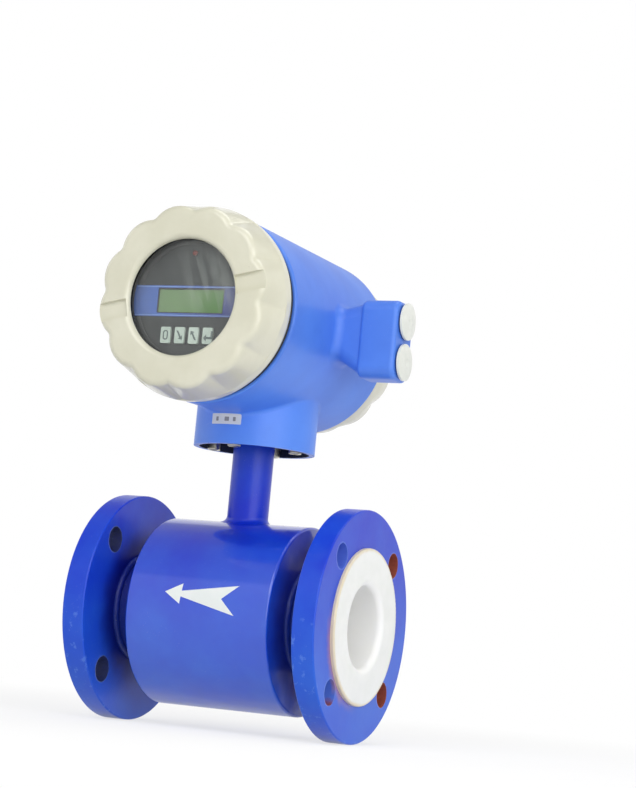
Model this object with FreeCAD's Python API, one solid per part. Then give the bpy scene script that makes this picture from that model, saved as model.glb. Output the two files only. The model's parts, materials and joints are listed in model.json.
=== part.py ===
import FreeCAD, Part
import math
import os

# Electromagnetic flow meter, size 65, with a two-cover display head. Millimetres.
# The liquid runs along X, the display faces -Y and +Z is up.
# The origin lies on the flow axis, half way between the two liner faces.

# ---- flow tube, liner and pipe flanges (65 mm, 10K drilling) ----
bore_diameter = 62.0
face_to_face = 214.0          # over the two liner faces
liner_wall = 4.05
tube_wall = 3.0
flange_diameter = 175.0
flange_thickness = 18.0
bolt_inset = 17.5             # bolt circle inside the flange's rim
bolt_hole = 19.0
bolt_count = 4
liner_bolt_gap = 1.5          # from the liner's flare to the bolt holes
liner_proud = 3.0             # how far the liner's flare stands off the flange
rim_chamfer = 1.2
liner_edge_radius = 5.0

# ---- sensor casing ----
shell_room = 8.5              # from the yoke to the casing
shell_wall = 3.0
shell_length = 118.0
end_plate_thickness = 4.0
end_plate_skirt = 10.0
shell_edge_radius = 2.0

# ---- magnet and electrodes inside the casing ----
coil_length = 84.0
coil_width = 64.0
coil_height = 13.0
coil_corner = 15.0
pole_length = 50.0
pole_width = 30.0
pole_corner = 4.0
yoke_wall = 3.0
yoke_width = 60.0
yoke_gap = 6.0                # from the coil's back to the yoke
electrode_stem = 5.0
electrode_head = 10.0
electrode_head_thickness = 2.0
electrode_tip = 2.65          # stem beyond its nut
electrode_nut = 8.0           # across flats
electrode_nut_height = 4.0
bush_collar = 2.0             # thickness, and how far it stands out round the bush
bush_clearance = 0.2

# ---- neck between casing and head ----
neck_diameter = 31.8
neck_wall = 3.0
neck_weld_radius = 5.0
neck_flange_diameter = 84.0
neck_flange_thickness = 8.0
neck_flange_edge = 1.0
neck_gasket_thickness = 1.5
neck_screw_inset = 7.0        # screws inside the neck flange's rim
neck_screw_diameter = 6.0
neck_screw_length = 20.0
neck_screw_head = 10.0
neck_screw_head_height = 6.0
neck_screw_socket = 5.0       # across flats
neck_screw_end_gap = 1.0
neck_washer = 11.0
neck_washer_thickness = 1.6
neck_screw_count = 4

# ---- head casting: barrel, foot and cable boss ----
head_height = 222.0           # barrel axis above the flow axis
barrel_diameter = 142.0
barrel_wall = 6.0
barrel_edge_radius = 2.0
barrel_front = -98.0          # y of the two machined ends
barrel_rear = 76.0
lip_length = 15.0             # threaded lip at each end
lip_wall = 10.2
partition_y = -40.0
partition_thickness = 4.0
wire_hole = 14.0
lead_well = 22.0              # bore from the neck up into the partition
foot_wall = 4.7               # round the neck flange
foot_depth = 23.0             # foot's lower edge below the barrel
foot_rim_height = 6.5         # foot's lower edge to the neck flange inside it
foot_blend = 4.0
boss_y = -7.0
boss_drop = 7.0               # block's middle below the barrel's axis
boss_reach = 48.2             # machined face outside the barrel
boss_block = 30.0             # thickness of the block
boss_width = 34.0
boss_height = 60.0
boss_corner = 9.0
boss_step = 3.0               # block's width and height over the pedestal's end
boss_blend = 7.0              # pedestal into the barrel
boss_edge_radius = 3.5        # round the block's two ends
pedestal_corner = 12.0
boss_root_drop = 2.0
boss_root_width = 36.0
boss_root_height = 22.0
boss_waist_width = 33.0
boss_waist_height = 41.0
boss_waist_share = 0.45       # how far along the pedestal its waist lies
entry_hole = 18.5
entry_depth = 22.0            # holes this deep, then the cable way
entry_pitch = 31.0
boss_wall = 7.0               # round the cable way inside the pedestal

# ---- blanking plugs in the cable entries ----
plug_head = 28.0
plug_head_height = 3.0
plug_edge_radius = 1.2
plug_dome_radius = 70.0
plug_dimple = 8.0
plug_dimple_depth = 0.7
plug_shank = 13.0
plug_gasket_thickness = 1.5
plug_gasket_diameter = 22.0

# ---- screwed covers ----
# radii stand over the barrel's radius; "back" is where the flutes have run out
front_grip = {
    "shoulder": -3.0,
    "reach": 44.0,            # shoulder to face
    "lobe_face": -3.7,
    "lobe_back": 1.4,
    "flute_face": -8.1,
    "flute_back": 0.5,
    "belly": 1.0,
    "belly_start": 9.0,
    "belly_blend": 8.0,
    "edge_radius": 5.0,
    "turn": 168.2,            # degrees of the spanner slots
}
rear_grip = {
    "shoulder": -5.5,
    "reach": 35.2,
    "lobe_face": -6.2,
    "lobe_back": -3.4,
    "flute_face": -9.8,
    "flute_back": -4.2,
    "belly": -3.8,
    "belly_start": 8.0,
    "belly_blend": 6.0,
    "edge_radius": 7.0,
    "turn": 6.0,
}
cover_lobes = 12
flute_end = 16.0              # where the flutes have run out, from the shoulder
flute_arc_face = 6.0
flute_arc_back = 10.0
cover_thread_length = 14.0
cover_skirt_wall = 4.5
cover_end_wall = 5.0
cover_inside_radius = 2.0
cover_gap = 2.0               # face of the casting to the cover's shoulder
thread_clearance = 0.3
slot_width = 13.5
slot_depth = 2.5
slot_start = 1.35             # outside the window's opening
seal_inset = 0.7              # seal's centre line inside the shoulder's edge
seal_section = 3.2
seal_play = 0.5               # round the seal in its groove

# ---- window ----
window_frame = 13.2           # from the cover's bore in to the opening
window_lip = 4.0              # radius that rounds the opening's edge
window_seat = 4.5             # from the front face to the glass gasket
glass_thickness = 5.0
glass_edge_chamfer = 0.6
glass_land = 4.5
glass_gasket_thickness = 1.0
glass_ring_thickness = 3.0
glass_ring_clear = 1.0        # its opening over the window's, on the radius
glass_ring_gap = 2.0          # to the cover's bore
glass_ring_screw = 3.0
glass_ring_screw_length = 8.0
glass_ring_screw_head = 2.0   # height
glass_ring_screws = 3

# ---- display and electronics ----
fascia_setback = 19.0         # behind the cover's front face
fascia_gap = 6.0              # to the cover's bore
fascia_thickness = 2.0
fascia_rim = 3.0
fascia_rim_height = 2.0
fascia_corner = 1.0           # of the openings, the keys and the rim
band_height = 22.8
band_thickness = 0.4
band_rise = -0.7              # heights from the barrel's axis
lcd_width = 53.5
lcd_height = 18.0
lcd_rise = -0.3
lcd_border = 4.0
key_width = 8.0
key_height = 12.0
key_gap = 3.4
key_rise = -26.0
key_names = ["function_key", "down_key", "up_key", "enter_key"]
key_proud = 1.5
key_travel = 0.5
key_collar = 0.8              # how far it stands out round the key
key_collar_thickness = 1.2
key_stem = 4.0
switch_size = 6.0
switch_height = 4.0
switch_gap = 0.2
lamp_diameter = 4.0
lamp_inset = 15.0             # inside the panel's edge
display_board_setback = 12.6  # back face behind the panel's front
main_board_stand = 34.4       # back face off the partition
power_board_stand = 10.4
board_thickness = 1.6
board_gap = 1.0               # to the cover's bore
board_flat = 7.0              # cut off the bottom of each disc
board_hole = 3.4
board_post = 6.0
board_post_inset = 13.0       # inside the boards' edge
transformer_core = (34.0, 28.0, 14.0)        # width, height, depth
transformer_winding = (24.0, 40.0, 8.0)
transformer_corner = 0.5
terminal_ways = 8
terminal_pitch = 9.0
terminal_depth = 16.0
terminal_height = 24.0
terminal_margin = 2.0
terminal_chamfer = 4.0
terminal_mouth = 5.0
terminal_screw = 5.6
terminal_screw_height = 3.0
terminal_screw_sink = 7.0     # screw's seat below the block's face
terminal_slot = 1.0

# ---- clearances ----
seat = 0.1                    # radial gap of a seated round fit
play = 0.3                    # gap round something that moves or drops in

X = FreeCAD.Vector(1, 0, 0)
Y = FreeCAD.Vector(0, 1, 0)
Z = FreeCAD.Vector(0, 0, 1)
flow_centre = FreeCAD.Vector(0, 0, 0)
head_centre = FreeCAD.Vector(0, 0, head_height)

bore_radius = bore_diameter / 2
tube_inside = bore_radius + liner_wall + seat
tube_radius = tube_inside + tube_wall
bolt_circle_radius = flange_diameter / 2 - bolt_inset
liner_face_radius = bolt_circle_radius - bolt_hole / 2 - liner_bolt_gap
liner_face = face_to_face / 2
flange_face = liner_face - liner_proud
flange_back = flange_face - flange_thickness
pole_radius = tube_radius + seat
yoke_inside = pole_radius + coil_height + yoke_gap
shell_inside = yoke_inside + yoke_wall + shell_room
shell_radius = shell_inside + shell_wall
shell_end = shell_length / 2
neck_radius = neck_diameter / 2
barrel_radius = barrel_diameter / 2
barrel_inside = barrel_radius - barrel_wall
lip_inside = barrel_radius - lip_wall
thread_radius = lip_inside - thread_clearance
cover_inside = thread_radius - cover_skirt_wall
window_radius = cover_inside - window_frame
foot_recess = neck_flange_diameter / 2 + play
foot_radius = foot_recess + foot_wall
foot_bottom = head_height - barrel_radius - foot_depth
neck_flange_bottom = foot_bottom + foot_rim_height
neck_flange_top = neck_flange_bottom + neck_flange_thickness
foot_ceiling = neck_flange_top + neck_gasket_thickness
boss_root_x = barrel_radius - 2 * barrel_wall       # inside the wall, where the pedestal starts
boss_face = barrel_radius + boss_reach
boss_start = boss_face - boss_block
boss_z = head_height - boss_drop
seal_offset = seal_section / 2 - cover_gap + seat   # its centre from the shoulder
partition_front = partition_y - partition_thickness / 2
partition_rear = partition_y + partition_thickness / 2
fascia_y = barrel_front - cover_gap - front_grip["reach"] + fascia_setback
fascia_back = fascia_y + fascia_thickness
fascia_radius = cover_inside - fascia_gap
board_radius = cover_inside - board_gap
display_board_y = fascia_y + display_board_setback
main_board_y = partition_front - main_board_stand
power_board_y = partition_front - power_board_stand
board_front = display_board_y - board_thickness
band_z = head_height + band_rise
lcd_z = head_height + lcd_rise
key_z = head_height + key_rise
lamp_centre = head_centre + Z * (fascia_radius - lamp_inset)
for grip in (front_grip, rear_grip):
    for name in ("shoulder", "lobe_face", "lobe_back", "flute_face", "flute_back", "belly"):
        grip[name] += barrel_radius


# ---- helpers ----
def corner_arcs(points):
    """A closed outline in a plane. A point is (u, v) or (u, v, corner radius)."""
    count = len(points)
    pieces = []
    for i in range(count):
        u, v = points[i][:2]
        radius = points[i][2] if len(points[i]) > 2 else 0.0
        before = FreeCAD.Vector(points[i - 1][0] - u, points[i - 1][1] - v, 0)
        after = FreeCAD.Vector(points[(i + 1) % count][0] - u, points[(i + 1) % count][1] - v, 0)
        before.normalize()
        after.normalize()
        corner = FreeCAD.Vector(u, v, 0)
        if radius == 0.0:
            pieces.append((corner, None, corner))
            continue
        half = before.getAngle(after) / 2
        reach = radius / math.tan(half)
        middle = before + after
        middle.normalize()
        touch = corner + middle * (radius / math.sin(half) - radius)
        pieces.append((corner + before * reach, touch, corner + after * reach))
    return pieces


def outline(points, place):
    """The wire of a rounded outline, with each (u, v) put into space by place."""
    pieces = corner_arcs(points)
    edges = []
    for i, (start, touch, end) in enumerate(pieces):
        if touch is not None:
            arc = Part.Arc(place(start.x, start.y), place(touch.x, touch.y), place(end.x, end.y))
            edges.append(arc.toShape())
        following = pieces[(i + 1) % len(pieces)][0]
        if end.distanceToPoint(following) > 1e-6:
            edges.append(Part.makeLine(place(end.x, end.y), place(following.x, following.y)))
    return Part.Wire(edges)


def turned(points, centre, axis):
    """A solid of revolution from (distance along the axis, radius) points."""
    across = Z if axis != Z else X
    wire = outline(points, lambda along, radius: centre + axis * along + across * radius)
    return Part.Face(wire).revolve(centre, axis, 360)


def rod(centre, axis, radius, start, end):
    """A cylinder between two distances along an axis through centre."""
    return Part.makeCylinder(radius, end - start, centre + axis * start, axis)


def ring(centre, axis, inner, outer, start, end):
    return rod(centre, axis, outer, start, end).cut(rod(centre, axis, inner, start, end))


def rounded_box(size_u, size_v, corner):
    """Corner points of a rounded rectangle about the origin."""
    u, v = size_u / 2, size_v / 2
    return [(-u, -v, corner), (u, -v, corner), (u, v, corner), (-u, v, corner)]


def slab(points, place, thickness):
    """A flat plate: an outline drawn by place, thickened along a vector."""
    return Part.Face(outline(points, place)).extrude(thickness)


def facing(x, z, y):
    """Places an outline on a plane that faces along Y, about the point x, z."""
    return lambda u, v: FreeCAD.Vector(x + u, y, z + v)


def around(shape, centre, axis, count, first=0.0):
    """Copies of a shape at equal angles."""
    copies = []
    for i in range(count):
        copy = shape.copy()
        copy.rotate(centre, axis, first + i * 360.0 / count)
        copies.append(copy)
    return copies


def group(solids):
    return Part.makeCompound(solids)


def hexagon(across_flats, centre, axis, start, end):
    across = Z if axis != Z else X
    side = axis.cross(across)
    reach = across_flats / math.sqrt(3)
    points = []
    for i in range(6):
        angle = math.radians(60 * i)
        points.append((reach * math.cos(angle), reach * math.sin(angle)))
    wire = outline(points, lambda u, v: centre + axis * start + across * u + side * v)
    return Part.Face(wire).extrude(axis * (end - start))


# ---- flow tube ----
def measuring_tube():
    tube = ring(flow_centre, X, tube_inside, tube_radius, -flange_face, flange_face)
    hole = electrode_head / 2 + bush_clearance
    return tube.cut(rod(flow_centre, Y, hole, -2 * tube_radius, 2 * tube_radius))


def liner():
    """A tube turned out over both flange faces."""
    wall = tube_inside - seat
    half = [(0, bore_radius), (liner_face, bore_radius, liner_edge_radius),
            (liner_face, liner_face_radius, rim_chamfer), (flange_face, liner_face_radius),
            (flange_face, wall), (0, wall)]
    right = turned(half, flow_centre, X)
    left = right.mirror(flow_centre, X)
    body = right.fuse(left).removeSplitter()
    body = body.cut(rod(flow_centre, Y, electrode_stem / 2 + seat, -tube_radius, tube_radius))
    recess = electrode_head / 2 + seat
    depth = bore_radius + electrode_head_thickness + bush_clearance
    return body.cut(rod(flow_centre, Y, recess, -depth, depth))


def pipe_flange(side):
    """A plate flange, drilled off the centre lines."""
    radius = flange_diameter / 2
    eye = tube_radius + seat
    section = [(flange_back, eye), (flange_face, eye), (flange_face, radius, rim_chamfer),
               (flange_back, radius, rim_chamfer)]
    flange = turned(section, flow_centre, X)
    drill = rod(FreeCAD.Vector(0, bolt_circle_radius, 0), X, bolt_hole / 2, 0, face_to_face)
    for hole in around(drill, flow_centre, X, bolt_count, 180.0 / bolt_count):
        flange = flange.cut(hole)
    if side < 0:
        flange = flange.mirror(flow_centre, X)
    return flange


def sensor_shell():
    reach = shell_end - end_plate_skirt
    shell = ring(flow_centre, X, shell_inside, shell_radius, -reach, reach)
    return shell.cut(rod(flow_centre, Z, neck_radius + seat, 0, 2 * shell_radius))


def end_plate(side):
    """A pressed disc with a turned-in rim that the casing is welded to."""
    inner_face = shell_end - end_plate_thickness
    rim = shell_end - end_plate_skirt
    eye = tube_radius + seat
    section = [(shell_end, eye), (shell_end, shell_radius, shell_edge_radius), (rim, shell_radius),
               (rim, shell_inside), (inner_face, shell_inside), (inner_face, eye)]
    plate = turned(section, flow_centre, X)
    if side < 0:
        plate = plate.mirror(flow_centre, X)
    return plate


# ---- magnet ----
def saddle(outer_points, inner_radius, outer_radius):
    """A block of the ring round the tube, cut to a plan outline and set on top."""
    block = slab(outer_points, lambda u, v: FreeCAD.Vector(u, v, 0), Z * shell_radius)
    return block.common(ring(flow_centre, X, inner_radius, outer_radius, -shell_end, shell_end))


def coil(side):
    back = pole_radius + coil_height
    winding = saddle(rounded_box(coil_length, coil_width, coil_corner), pole_radius, back)
    window = rounded_box(pole_length + 2 * play, pole_width + 2 * play, pole_corner)
    winding = winding.cut(slab(window, lambda u, v: FreeCAD.Vector(u, v, 0), Z * shell_radius))
    return winding if side > 0 else winding.mirror(flow_centre, Z)


def pole(side):
    core = saddle(rounded_box(pole_length, pole_width, pole_corner), pole_radius, yoke_inside - seat)
    return core if side > 0 else core.mirror(flow_centre, Z)


def magnetic_yoke():
    return ring(flow_centre, X, yoke_inside, yoke_inside + yoke_wall, -yoke_width / 2, yoke_width / 2)


def electrode(side):
    """Flat head in the liner, stem out through the tube wall."""
    head_end = bore_radius + seat + electrode_head_thickness
    stem_end = tube_radius + bush_clearance + bush_collar + electrode_nut_height + electrode_tip
    head = rod(flow_centre, Y, electrode_head / 2, bore_radius + seat, head_end)
    stem = rod(flow_centre, Y, electrode_stem / 2, head_end, stem_end)
    body = head.fuse(stem).removeSplitter()
    return body if side > 0 else body.mirror(flow_centre, Y)


def electrode_fittings():
    """The insulating bushes and the nuts outside the tube, two of each."""
    eye = electrode_stem / 2 + seat
    collar_start = tube_radius + bush_clearance
    collar_end = collar_start + bush_collar
    sleeve = ring(flow_centre, Y, eye, electrode_head / 2, tube_inside + bush_clearance, collar_start)
    collar = ring(flow_centre, Y, eye, electrode_head / 2 + bush_collar, collar_start, collar_end)
    bush = sleeve.fuse(collar).removeSplitter()
    nut = hexagon(electrode_nut, flow_centre, Y, collar_end, collar_end + electrode_nut_height)
    nut = nut.cut(rod(flow_centre, Y, eye, 0, shell_radius))
    bushes = group([bush, bush.mirror(flow_centre, Y)])
    nuts = group([nut, nut.mirror(flow_centre, Y)])
    return bushes, nuts


# ---- neck ----
def neck_tube():
    """The pipe to the head, with the weld that joins it to the round casing."""
    pipe = rod(flow_centre, Z, neck_radius, 0, neck_flange_top)
    casing = rod(flow_centre, X, shell_radius, -shell_end, shell_end)
    joined = casing.fuse(pipe)
    joint = []
    for edge in joined.Edges:
        box = edge.BoundBox
        reach = max(abs(box.XMin), abs(box.XMax), abs(box.YMin), abs(box.YMax))
        if reach < neck_radius + 0.01 and box.ZMin > 0 and box.ZMax < shell_radius + 0.01:
            joint.append(edge)
    welded = joined.makeFillet(neck_weld_radius, joint)
    bead = welded.cut(casing)
    below = rod(flow_centre, Z, neck_radius, shell_inside - neck_wall, neck_flange_top)
    body = bead.fuse(below).removeSplitter()
    return body.cut(rod(flow_centre, Z, neck_radius - neck_wall, 0, head_height))


def neck_screw_places():
    """Four screws, on the centre lines of the neck flange."""
    radius = neck_flange_diameter / 2 - neck_screw_inset
    places = []
    for i in range(neck_screw_count):
        angle = math.radians(i * 360.0 / neck_screw_count)
        places.append(FreeCAD.Vector(math.cos(angle), math.sin(angle), 0) * radius)
    return places


def neck_flange():
    plate = turned([(neck_flange_bottom, neck_radius + seat), (neck_flange_top, neck_radius + seat),
                    (neck_flange_top, neck_flange_diameter / 2, neck_flange_edge),
                    (neck_flange_bottom, neck_flange_diameter / 2, neck_flange_edge)], flow_centre, Z)
    for place in neck_screw_places():
        plate = plate.cut(rod(place, Z, neck_screw_diameter / 2 + play, 0, head_height))
    return plate


def neck_gasket():
    gasket = ring(flow_centre, Z, neck_radius - neck_wall, neck_flange_diameter / 2 - neck_flange_edge,
                  neck_flange_top, foot_ceiling)
    for place in neck_screw_places():
        gasket = gasket.cut(rod(place, Z, neck_screw_diameter / 2 + play, 0, head_height))
    return gasket


def neck_screws():
    """Socket-head screws from below, with their spring washers."""
    screws = []
    washers = []
    seat_z = neck_flange_bottom - neck_washer_thickness
    head_z = seat_z - neck_screw_head_height
    for place in neck_screw_places():
        head = turned([(head_z, 0), (seat_z, 0), (seat_z, neck_screw_head / 2),
                       (head_z, neck_screw_head / 2, neck_flange_edge)], place, Z)
        shank = rod(place, Z, neck_screw_diameter / 2, seat_z, seat_z + neck_screw_length)
        socket = hexagon(neck_screw_socket, place, Z, head_z, seat_z - neck_screw_head_height / 2)
        screws.append(head.fuse(shank).removeSplitter().cut(socket))
        washers.append(ring(place, Z, neck_screw_diameter / 2 + seat, neck_washer / 2,
                            seat_z, neck_flange_bottom))
    return group(screws), group(washers)


# ---- head casting ----
def blend_edges(shape, centre, axis, radius):
    """Edges that lie on the round wall of the given radius, except the flat circles."""
    found = []
    for edge in shape.Edges:
        points = edge.discretize(7)
        away = [point.distanceToLine(centre, axis) for point in points]
        along = [(point - centre).dot(axis) for point in points]
        on_wall = max(abs(distance - radius) for distance in away) < 0.01
        if on_wall and max(along) - min(along) > 0.5:
            found.append(edge)
    return found


def barrel_with_foot():
    barrel = rod(head_centre, Y, barrel_radius, barrel_front, barrel_rear)
    foot = rod(flow_centre, Z, foot_radius, foot_bottom, head_height)
    body = barrel.fuse(foot)
    seam = []
    for edge in blend_edges(body, flow_centre, Z, foot_radius):
        if edge.BoundBox.ZMax < head_height and edge.BoundBox.ZMin > foot_bottom + foot_rim_height:
            seam.append(edge)
    body = body.makeFillet(foot_blend, seam)
    rims = []
    for edge in body.Edges:
        on_end = edge.BoundBox.YLength < 0.01 and edge.BoundBox.ZLength > barrel_diameter - 1
        if on_end:
            rims.append(edge)
    return body.makeFillet(barrel_edge_radius, rims)


def boss_section(x, z, width, height, corner):
    corner = min(corner, width / 3, height / 3)
    place = lambda u, v: FreeCAD.Vector(x, boss_y + u, z + v)
    return outline(rounded_box(width, height, corner), place)


def boss_loft(inset, end):
    """The waisted pedestal, or with an inset the cable way inside it."""
    waist_x = boss_root_x + boss_waist_share * (end - boss_root_x)
    root_z = head_height - boss_root_drop
    waist_z = root_z + boss_waist_share * (boss_z - root_z)
    end_width, end_height = boss_width - boss_step, boss_height - boss_step
    sections = [(boss_root_x, root_z, boss_root_width, boss_root_height),
                (waist_x, waist_z, boss_waist_width, boss_waist_height),
                (end, boss_z, end_width, end_height)]
    return Part.makeLoft([boss_section(x, z, width - inset, height - inset, pedestal_corner)
                          for x, z, width, height in sections], True, False)


def cable_boss():
    """The two-entry block and the pedestal that carries it on the barrel."""
    section = boss_section(boss_start, boss_z, boss_width, boss_height, boss_corner)
    block = Part.Face(section).extrude(X * (boss_face - boss_start))
    ends = [edge for edge in block.Edges if edge.BoundBox.XLength < 0.01]
    return boss_loft(0, boss_start + boss_edge_radius), block.makeFillet(boss_edge_radius, ends)


def entry_centres():
    return [FreeCAD.Vector(0, boss_y, boss_z + side * entry_pitch / 2) for side in (1, -1)]


def converter_housing():
    pedestal, block = cable_boss()
    body = barrel_with_foot().fuse([pedestal, block]).removeSplitter()
    root = []
    for edge in blend_edges(body, head_centre, Y, barrel_radius):
        if edge.BoundBox.XMin > boss_root_x:
            root.append(edge)
    body = body.makeFillet(boss_blend, root)
    body = body.cut(rod(head_centre, Y, lip_inside, barrel_front, barrel_front + lip_length))
    body = body.cut(rod(head_centre, Y, lip_inside, barrel_rear - lip_length, barrel_rear))
    body = body.cut(rod(head_centre, Y, barrel_inside, barrel_front + lip_length, partition_front))
    body = body.cut(rod(head_centre, Y, barrel_inside, partition_rear, barrel_rear - lip_length))
    body = body.cut(rod(flow_centre, Z, foot_recess, foot_bottom, foot_ceiling))
    lead_height = head_height - barrel_inside / 2
    body = body.cut(rod(flow_centre, Z, lead_well / 2, foot_bottom, lead_height))
    lead_hole = FreeCAD.Vector(0, 0, lead_height)
    body = body.cut(rod(lead_hole, Y, wire_hole / 2, partition_front, partition_rear))
    screw_end = neck_flange_bottom - neck_washer_thickness + neck_screw_length
    for place in neck_screw_places():
        hole = rod(place, Z, neck_screw_diameter / 2 + seat, foot_bottom, screw_end + neck_screw_end_gap)
        body = body.cut(hole)
    way_end = boss_face - entry_depth
    body = body.cut(boss_loft(2 * boss_wall, way_end))
    for centre in entry_centres():
        body = body.cut(rod(centre, X, entry_hole / 2, way_end - seat, boss_face))
    return body


def blanking_plug(centre):
    """A threaded stopper with a slightly domed head, dimpled in the middle."""
    seat_x = boss_face + plug_gasket_thickness
    top = plug_head_height
    head = turned([(0, 0), (top, 0), (top, plug_head / 2, plug_edge_radius), (0, plug_head / 2)],
                  centre + X * seat_x, X)
    head = head.common(Part.makeSphere(plug_dome_radius, centre + X * (seat_x + top - plug_dome_radius)))
    # a sphere that cuts a circle of the dimple's size at the dimple's depth
    ball = (plug_dimple ** 2 / 4 + plug_dimple_depth ** 2) / (2 * plug_dimple_depth)
    head = head.cut(Part.makeSphere(ball, centre + X * (seat_x + top - plug_dimple_depth + ball)))
    shank = rod(centre, X, entry_hole / 2 - seat, seat_x - plug_shank, seat_x)
    return head.fuse(shank).removeSplitter()


def plug_gaskets():
    rings = []
    for centre in entry_centres():
        rings.append(ring(centre, X, entry_hole / 2 + seat, plug_gasket_diameter / 2,
                          boss_face, boss_face + plug_gasket_thickness))
    return group(rings)


# ---- covers: built with the shoulder on y = 0 and the face towards +Y ----
def scalloped_wire(y, peak, valley, flute, turn):
    """Lobes and flutes as arcs that run into each other smoothly."""
    step = 360.0 / cover_lobes
    half = math.radians(step / 2)
    outer = valley + flute        # radius to the centre of a flute's arc
    lobe = (peak ** 2 + outer ** 2 - 2 * peak * outer * math.cos(half) - flute ** 2)
    lobe = lobe / (2 * (peak - outer * math.cos(half) + flute))
    inner = peak - lobe           # radius to the centre of a lobe's arc
    share = lobe / (lobe + flute)

    def point(radius, angle):
        return FreeCAD.Vector(radius * math.cos(angle), y, radius * math.sin(angle))

    def meeting(lobe_angle, flute_angle):
        start, end = point(inner, lobe_angle), point(outer, flute_angle)
        return start + (end - start) * share

    edges = []
    for i in range(cover_lobes):
        top = math.radians(turn + i * step)
        first = meeting(top, top - half)
        second = meeting(top, top + half)
        third = meeting(top + 2 * half, top + half)
        edges.append(Part.Arc(first, point(peak, top), second).toShape())
        edges.append(Part.Arc(second, point(valley, top + half), third).toShape())
    return Part.Wire(edges)


def cover_blank(grip):
    """The grip: flutes that run out towards the shoulder, and a rounded front edge."""
    reach, turn, edge = grip["reach"], grip["turn"], grip["edge_radius"]
    fluted = Part.makeLoft([
        scalloped_wire(flute_end, grip["lobe_back"], grip["flute_back"], flute_arc_back, turn),
        scalloped_wire(reach, grip["lobe_face"], grip["flute_face"], flute_arc_face, turn)], True, True)
    rim = [each for each in fluted.Edges if each.BoundBox.YMin > reach - 0.01]
    fluted = fluted.makeFillet(edge, rim)
    collar = rod(flow_centre, Y, grip["lobe_back"] + 1, 0, flute_end)
    belly = turned([(0, 0), (reach, 0), (reach, grip["belly"]),
                    (grip["belly_start"], grip["belly"], grip["belly_blend"]),
                    (0, grip["shoulder"])], flow_centre, Y)
    return fluted.fuse(collar).common(belly).removeSplitter()


def screwed_cover(grip):
    """The grip with its threaded skirt, seal groove and two spanner slots."""
    body = cover_blank(grip)
    body = body.fuse(rod(flow_centre, Y, thread_radius, -cover_thread_length, 0)).removeSplitter()
    low = FreeCAD.Vector(window_radius + slot_start, grip["reach"] - slot_depth, -slot_width / 2)
    slot = Part.makeBox(barrel_diameter, slot_depth, slot_width, low)
    for cut in around(slot, flow_centre, Y, 2, -grip["turn"]):
        body = body.cut(cut)
    return body.cut(seal_ring(grip, seal_play))


def seal_ring(grip, extra=0.0):
    """The O-ring at the cover's shoulder, or with extra its groove."""
    radius = grip["shoulder"] - seal_inset
    return Part.makeTorus(radius, seal_section / 2 + extra, flow_centre + Y * seal_offset, Y)


def ring_screw_place():
    """Middle of the clamping ring's land outside the glass."""
    rim = window_radius + glass_land
    return FreeCAD.Vector((cover_inside - glass_ring_gap + rim) / 2, 0, 0)


def window_cover():
    body = screwed_cover(front_grip)
    reach = front_grip["reach"]
    pocket = window_radius + glass_land + play
    seat_y = reach - window_seat
    pocket_y = seat_y - glass_gasket_thickness - glass_thickness
    face = window_radius + window_lip
    cavity = [(-cover_thread_length, 0), (-cover_thread_length, cover_inside),
              (pocket_y, cover_inside, cover_inside_radius), (pocket_y, pocket),
              (seat_y, pocket), (seat_y, window_radius),
              (reach, window_radius, window_lip), (reach, face),
              (barrel_diameter, face), (barrel_diameter, 0)]
    body = body.cut(turned(cavity, flow_centre, Y))
    drill = rod(ring_screw_place(), Y, glass_ring_screw / 2 + seat, pocket_y,
                pocket_y + glass_ring_screw_length - glass_ring_thickness + play)
    for hole_tool in around(drill, flow_centre, Y, glass_ring_screws):
        body = body.cut(hole_tool)
    return body


def window_parts():
    """Gasket, glass, clamping ring and its screws, behind the opening."""
    seat_y = front_grip["reach"] - window_seat
    glass_front = seat_y - glass_gasket_thickness
    glass_back = glass_front - glass_thickness
    ring_back = glass_back - glass_ring_thickness
    rim = window_radius + glass_land
    gasket = ring(flow_centre, Y, window_radius + seat, rim, glass_front, seat_y)
    glass = turned([(glass_back, 0), (glass_front, 0), (glass_front, rim, glass_edge_chamfer),
                    (glass_back, rim, glass_edge_chamfer)], flow_centre, Y)
    clamp = ring(flow_centre, Y, window_radius + glass_ring_clear, cover_inside - glass_ring_gap,
                 ring_back, glass_back)
    place = ring_screw_place()
    drill = rod(place, Y, glass_ring_screw / 2 + seat, ring_back, glass_back)
    head = rod(place, Y, glass_ring_screw, ring_back - glass_ring_screw_head, ring_back)
    shank = rod(place, Y, glass_ring_screw / 2, ring_back, ring_back + glass_ring_screw_length)
    for tool in around(drill, flow_centre, Y, glass_ring_screws):
        clamp = clamp.cut(tool)
    screws = group(around(head.fuse(shank).removeSplitter(), flow_centre, Y, glass_ring_screws))
    return gasket, glass, clamp, screws


def closed_cover():
    body = screwed_cover(rear_grip)
    inside_end = rear_grip["reach"] - cover_end_wall
    cavity = [(-cover_thread_length, 0), (-cover_thread_length, cover_inside),
              (inside_end, cover_inside, 2 * cover_inside_radius), (inside_end, 0)]
    return body.cut(turned(cavity, flow_centre, Y))


def on_front(shape):
    placed = shape.copy()
    placed.rotate(flow_centre, Z, 180)
    placed.translate(head_centre + Y * (barrel_front - cover_gap))
    return placed


def on_rear(shape):
    placed = shape.copy()
    placed.translate(head_centre + Y * (barrel_rear + cover_gap))
    return placed


# ---- display ----
def key_centres():
    pitch = key_width + key_gap
    first = -(len(key_names) - 1) / 2 * pitch
    return [first + i * pitch for i in range(len(key_names))]


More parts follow.
